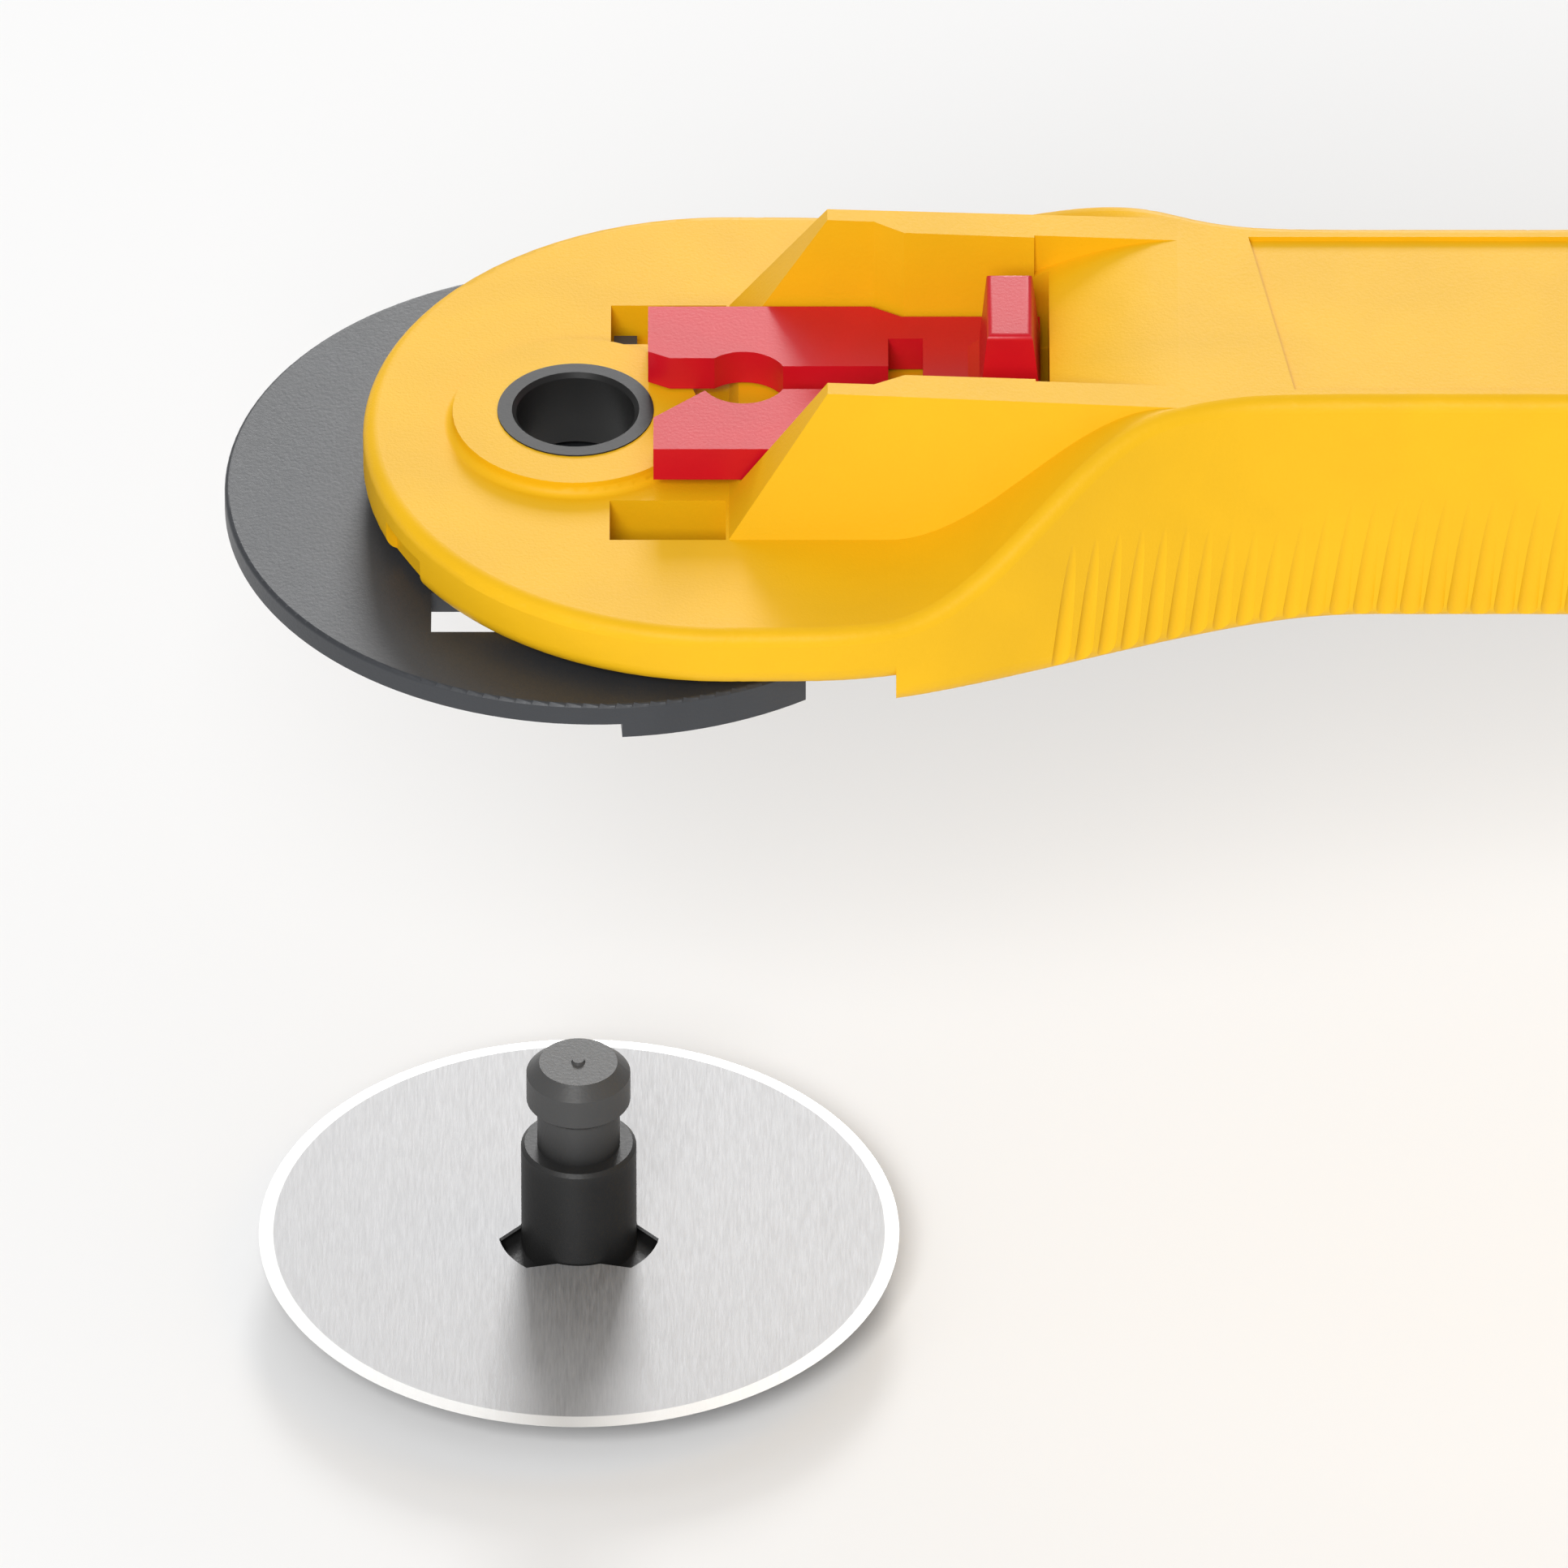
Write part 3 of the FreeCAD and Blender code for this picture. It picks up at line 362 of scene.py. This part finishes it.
def screw(bm, sizes, head):
    """A screw standing on its head at the origin, with a tapered cross in the head."""
    height = 1.1 * MM
    shank = 1.05 * MM
    length = 8.0 * MM
    point = 0.9 * MM
    depth = 0.6 * MM
    taper = 0.8
    half = 0.32 * MM
    reach = sizes.recess
    # the cross: four arms drawn round the middle, as one loop
    cross = []
    for quarter in range(4):
        turn = Matrix.Rotation(quarter * math.pi / 2, 4, "Z")
        for corner in ((reach, -half), (reach, half), (half, half)):
            cross.append(bm.verts.new(turn @ Vector((corner[0], corner[1], 0))))
    for number, vert in enumerate(cross):
        bm.edges.new((vert, cross[(number + 1) % len(cross)]))
    floor = bm.faces.new(cross)
    brim = ring(bm, head * 0.72, 0.0)
    bmesh.ops.bridge_loops(bm, edges=edges_among(bm, cross) + edges_among(bm, brim))
    sunk = bmesh.ops.extrude_face_region(bm, geom=[floor])
    verts = [part for part in sunk["geom"] if isinstance(part, bmesh.types.BMVert)]
    bmesh.ops.translate(bm, verts=verts, vec=(0, 0, depth))
    bmesh.ops.scale(bm, verts=verts, vec=(taper, taper, 1))
    if floor.is_valid:
        bmesh.ops.delete(bm, geom=[floor], context="FACES_ONLY")
    # the domed rim, the back of the head and the shank, ring by ring
    rings = [brim]
    for radius, z in (
        (head * 0.9, 0.12 * MM),
        (head * 0.98, 0.35 * MM),
        (head * 0.98, height),
        (shank, height),
        (shank, length),
        (shank * 0.4, length + point),
    ):
        rings.append(ring(bm, radius, z))
    for first, second in zip(rings, rings[1:]):
        bmesh.ops.bridge_loops(bm, edges=edges_among(bm, first) + edges_among(bm, second))
    bmesh.ops.contextual_create(bm, geom=edges_among(bm, rings[-1]))
    bmesh.ops.recalc_face_normals(bm, faces=bm.faces)


# ------------------------------------------------------------------ the pieces
class CUTTER_OT_handle(bpy.types.Operator):
    """Finish the yellow handle and the cover in its underside"""

    bl_idname = "cutter.handle"
    bl_label = "Handle"

    def execute(self, context):
        colour = tuple(context.scene.cutter_colours.handle)
        satin = plastic(
            "handle satin", colour, shade(colour, 0.94), 0.5, 0.12, 0.4, specular=0.25
        )
        finish_node("handle_body", satin)
        cover = plastic(
            "cover satin", shade(colour, 0.97), shade(colour, 0.91), 0.55, 0.12, 0.5, specular=0.25
        )
        finish_node("handle_cover", cover)
        return {"FINISHED"}


class CUTTER_OT_lock(bpy.types.Operator):
    """Finish the red lock slide, with the small radii of its moulding"""

    bl_idname = "cutter.lock"
    bl_label = "Lock slide"

    def execute(self, context):
        colour = tuple(context.scene.cutter_colours.lock)
        gloss = plastic("lock gloss", colour, shade(colour, 0.9), 0.34, 0.08, 0.2, specular=0.3)

        def make(bm):
            merged_copy(bm, "lock_slide")
            soften(bm, context.scene.cutter_sizes.lock_edge, 3)

        piece = new_piece("lock_slide_moulded", make, gloss, "lock")
        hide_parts("lock_slide")
        return {"FINISHED"}


class CUTTER_OT_guard(bpy.types.Operator):
    """Finish the black disc that covers the blade"""

    bl_idname = "cutter.guard"
    bl_label = "Blade guard"

    def execute(self, context):
        colour = tuple(context.scene.cutter_colours.guard)
        satin = plastic(
            "guard satin", colour, shade(colour, 0.85), 0.46, 0.12, 0.35, specular=0.5
        )

        def make(bm):
            merged_copy(bm, "blade_guard")
            soften(bm, context.scene.cutter_sizes.guard_edge, 3)

        piece = new_piece("blade_guard_moulded", make, satin, "guard")
        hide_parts("blade_guard")
        return {"FINISHED"}


class CUTTER_OT_bush(bpy.types.Operator):
    """Finish the ring that the axle pin turns in"""

    bl_idname = "cutter.bush"
    bl_label = "Pin bush"

    def execute(self, context):
        colour = tuple(context.scene.cutter_colours.bush)
        smooth = plastic("bush smooth", colour, shade(colour, 1.4), 0.4, 0.06, 0.15, specular=0.25)
        finish_node("pin_bush", smooth)
        return {"FINISHED"}


class CUTTER_OT_pin(bpy.types.Operator):
    """Finish the axle pin"""

    bl_idname = "cutter.pin"
    bl_label = "Axle pin"

    def execute(self, context):
        colour = tuple(context.scene.cutter_colours.pin)
        smooth = plastic("pin smooth", colour, shade(colour, 1.5), 0.42, 0.1, 0.3, specular=0.35)
        low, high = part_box("axle_pin")
        tree = smooth.node_tree
        link = tree.links.new
        shader = tree.nodes["Principled BSDF"]
        skin_colour = shader.inputs["Base Color"].links[0].from_socket
        # painted sheen: the pin is painted lighter grey towards its head, standing in for the light
        # on its rough top, and the shaft stays black
        place = node_in(tree, "ShaderNodeTexCoord")
        split = node_in(tree, "ShaderNodeSeparateXYZ")
        link(place.outputs["Object"], split.inputs["Vector"])
        head_sheen_ramp = node_in(tree, "ShaderNodeMapRange", interpolation_type="SMOOTHSTEP")
        head_sheen_ramp.inputs["From Min"].default_value = high.z - 8.5 * MM
        head_sheen_ramp.inputs["From Max"].default_value = high.z - 3.0 * MM
        head_sheen_ramp.inputs["To Max"].default_value = 0.85
        link(split.outputs["Z"], head_sheen_ramp.inputs["Value"])
        # the painted sheen: a lighter grey mixed over the black towards the head
        sheen_tint = node_in(tree, "ShaderNodeMix", data_type="RGBA")
        sheen_tint.inputs["B"].default_value = (*shade(colour, 6.0), 1)
        link(head_sheen_ramp.outputs["Result"], sheen_tint.inputs["Factor"])
        link(skin_colour, sheen_tint.inputs["A"])
        link(sheen_tint.outputs["Result"], shader.inputs["Base Color"])
        finish_node("axle_pin", smooth)
        return {"FINISHED"}


class CUTTER_OT_blade(bpy.types.Operator):
    """Finish the blade: straight-grained steel with a ground edge"""

    bl_idname = "cutter.blade"
    bl_label = "Blade"

    def execute(self, context):
        colours = context.scene.cutter_colours
        sizes = context.scene.cutter_sizes
        low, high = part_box("blade")
        middle = (low + high) / 2
        made = bpy.data.materials.new("blade steel")
        made.use_nodes = True
        tree = made.node_tree
        link = tree.links.new
        shader = tree.nodes["Principled BSDF"]
        shader.inputs["Metallic"].default_value = 0.6
        place = node_in(tree, "ShaderNodeTexCoord")
        centred = node_in(tree, "ShaderNodeMapping")
        centred.inputs["Location"].default_value = (-middle.x, -middle.y, 0)
        link(place.outputs["Object"], centred.inputs["Vector"])
        # straight grain: noise drawn out along Y
        drawn = node_in(tree, "ShaderNodeMapping")
        across = 1 / sizes.blade_grain
        along = across * 0.06
        drawn.inputs["Scale"].default_value = (across, along, along)
        link(centred.outputs["Vector"], drawn.inputs["Vector"])
        grain = node_in(tree, "ShaderNodeTexNoise", Scale=1.0, Detail=3.0, Roughness=0.65)
        link(drawn.outputs["Vector"], grain.inputs["Vector"])
        spread = node_in(tree, "ShaderNodeMapRange")
        spread.inputs["From Min"].default_value = 0.3
        spread.inputs["From Max"].default_value = 0.7
        link(grain.outputs["Fac"], spread.inputs["Value"])
        # how far out from the axle, for the ground edge
        flat = node_in(tree, "ShaderNodeVectorMath", operation="MULTIPLY")
        flat.inputs[1].default_value = (1, 1, 0)
        link(centred.outputs["Vector"], flat.inputs[0])
        radius = node_in(tree, "ShaderNodeVectorMath", operation="LENGTH")
        link(flat.outputs["Vector"], radius.inputs[0])
        edge = node_in(tree, "ShaderNodeMapRange")
        start = (high.x - low.x) / 2 - sizes.bevel
        blur = 0.03 * MM
        edge.inputs["From Min"].default_value = start - blur
        edge.inputs["From Max"].default_value = start + blur
        link(radius.outputs["Value"], edge.inputs["Value"])
        steel = node_in(tree, "ShaderNodeMix", data_type="RGBA")
        steel.inputs["A"].default_value = (*shade(colours.steel, 0.86), 1)
        steel.inputs["B"].default_value = (*shade(colours.steel, 1.12), 1)
        link(spread.outputs["Result"], steel.inputs["Factor"])
        both = node_in(tree, "ShaderNodeMix", data_type="RGBA")
        both.inputs["B"].default_value = (*colours.ground, 1)
        link(edge.outputs["Result"], both.inputs["Factor"])
        link(steel.outputs["Result"], both.inputs["A"])
        link(both.outputs["Result"], shader.inputs["Base Color"])
        rough = node_in(tree, "ShaderNodeMapRange")
        rough.inputs["To Min"].default_value = 0.46
        rough.inputs["To Max"].default_value = 0.6
        link(spread.outputs["Result"], rough.inputs["Value"])
        link(rough.outputs["Result"], shader.inputs["Roughness"])
        bump = node_in(tree, "ShaderNodeBump", Strength=0.25, Distance=0.02 * MM)
        link(grain.outputs["Fac"], bump.inputs["Height"])
        link(bump.outputs["Normal"], shader.inputs["Normal"])
        finish_node("blade", made)
        return {"FINISHED"}


class CUTTER_OT_screws(bpy.types.Operator):
    """Finish the two screws that hold the cover"""

    bl_idname = "cutter.screws"
    bl_label = "Cover screws"

    def execute(self, context):
        colour = tuple(context.scene.cutter_colours.plating)
        plated = plastic("screw plating", colour, shade(colour, 0.8), 0.32, 0.15, 0.3)
        plated.node_tree.nodes["Principled BSDF"].inputs["Metallic"].default_value = 1.0
        low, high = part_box("cover_screws")
        head = (high.y - low.y) / 2
        centres = (low.x + head, high.x - head)
        for number, x in enumerate(centres, start=1):
            def make(bm):
                screw(bm, context.scene.cutter_sizes, head)
                bmesh.ops.translate(bm, verts=bm.verts, vec=(x, 0, low.z))

            name = "cover_screw_%d" % number
            new_piece(name, make, plated, "handle")
        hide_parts("cover_screws")
        return {"FINISHED"}


# ------------------------------------------------------------------ the studio
def aim(thing, target):
    """Turns a light or the camera to look at a point."""
    thing.rotation_euler = (target - thing.location).to_track_quat("-Z", "Y").to_euler()


def softbox(name, place, target, size, power):
    """A large square light that looks at a point."""
    data = bpy.data.lights.new(name, "AREA")
    data.shape = "SQUARE"
    data.size = size
    data.energy = power
    lamp = bpy.data.objects.new(name, data)
    bpy.context.scene.collection.objects.link(lamp)
    lamp.location = place
    aim(lamp, target)
    return lamp


def from_target(target, azimuth, elevation, distance):
    """A point at a distance from a target; azimuth 0 is in front and 90 to the right."""
    turn = math.radians(azimuth)
    rise = math.radians(elevation)
    away = Vector(
        (math.sin(turn) * math.cos(rise), -math.cos(turn) * math.cos(rise), math.sin(rise))
    )
    return target + away * distance


class CUTTER_OT_stage(bpy.types.Operator):
    """Build the pale floor, the soft lights and the camera"""

    bl_idname = "cutter.stage"
    bl_label = "Studio"

    def execute(self, context):
        scene = context.scene
        studio = scene.cutter_studio
        low = Vector(CAD_BOX[0])

        paper = bpy.data.materials.new("floor paper")
        paper.use_nodes = True
        shader = paper.node_tree.nodes["Principled BSDF"]
        shader.inputs["Roughness"].default_value = 0.9
        shader.inputs["Specular IOR Level"].default_value = 0.1
        shader.inputs["Base Color"].default_value = (*studio.floor, 1)
        mesh = bpy.data.meshes.new("floor")
        bm = bmesh.new()
        bmesh.ops.create_grid(bm, x_segments=1, y_segments=1, size=4.0)
        bmesh.ops.translate(bm, verts=bm.verts, vec=(0, 0, low.z))
        bm.to_mesh(mesh)
        bm.free()
        mesh.materials.append(paper)
        floor = bpy.data.objects.new("floor", mesh)
        scene.collection.objects.link(floor)

        world = bpy.data.worlds.new("studio sky")
        world.use_nodes = True
        world.node_tree.nodes["Background"].inputs["Color"].default_value = (1, 1, 1, 1)
        world.node_tree.nodes["Background"].inputs["Strength"].default_value = studio.sky
        scene.world = world

        middle = Vector(studio.target)
        softbox("back light", from_target(middle, 178, 22, 1.4), middle, 0.35, studio.back)
        softbox("back card", from_target(middle, 180, 42, 1.6), middle, 1.2, studio.card)
        softbox("front light", from_target(middle, -12, 38, 1.6), middle, 0.6, studio.front)

        data = bpy.data.cameras.new("camera")
        data.sensor_width = 36.0
        data.lens = 36.0 * studio.distance / studio.width
        data.clip_start = 0.05
        data.clip_end = 20.0
        camera = bpy.data.objects.new("camera", data)
        scene.collection.objects.link(camera)
        camera.location = from_target(middle, 0, math.degrees(studio.elevation), studio.distance)
        camera.rotation_euler = (math.pi / 2 - studio.elevation, 0, 0)
        scene.camera = camera
        scene.view_settings.view_transform = "Standard"
        return {"FINISHED"}


class CUTTER_PT_panel(bpy.types.Panel):
    """List the pieces of the rotary cutter and what can be changed"""

    bl_label = "Rotary Cutter"
    bl_idname = "CUTTER_PT_panel"
    bl_space_type = "VIEW_3D"
    bl_region_type = "UI"
    bl_category = "Rotary Cutter"

    def draw(self, context):
        layout = self.layout
        for operator in OPERATORS:
            layout.operator(operator.bl_idname)
        for settings in ("cutter_colours", "cutter_sizes", "cutter_studio"):
            group = getattr(context.scene, settings)
            box = layout.box()
            for name in group.bl_rna.properties.keys():
                if name not in ("rna_type", "name"):
                    box.prop(group, name)


OPERATORS = (
    CUTTER_OT_stage,
    CUTTER_OT_handle,
    CUTTER_OT_screws,
    CUTTER_OT_bush,
    CUTTER_OT_lock,
    CUTTER_OT_guard,
    CUTTER_OT_pin,
    CUTTER_OT_blade,
)
SETTINGS = (
    ("cutter_colours", CutterColours),
    ("cutter_sizes", CutterSizes),
    ("cutter_studio", CutterStudio),
)


def register():
    for name, group in SETTINGS:
        bpy.utils.register_class(group)
        setattr(bpy.types.Scene, name, bpy.props.PointerProperty(type=group))
    for operator in OPERATORS:
        bpy.utils.register_class(operator)
    bpy.utils.register_class(CUTTER_PT_panel)


def unregister():
    bpy.utils.unregister_class(CUTTER_PT_panel)
    for operator in reversed(OPERATORS):
        bpy.utils.unregister_class(operator)
    for name, group in reversed(SETTINGS):
        delattr(bpy.types.Scene, name)
        bpy.utils.unregister_class(group)


def main():
    register()
    for operator in OPERATORS:
        family, name = operator.bl_idname.split(".")
        getattr(getattr(bpy.ops, family), name)()


if __name__ == "__main__":
    main()
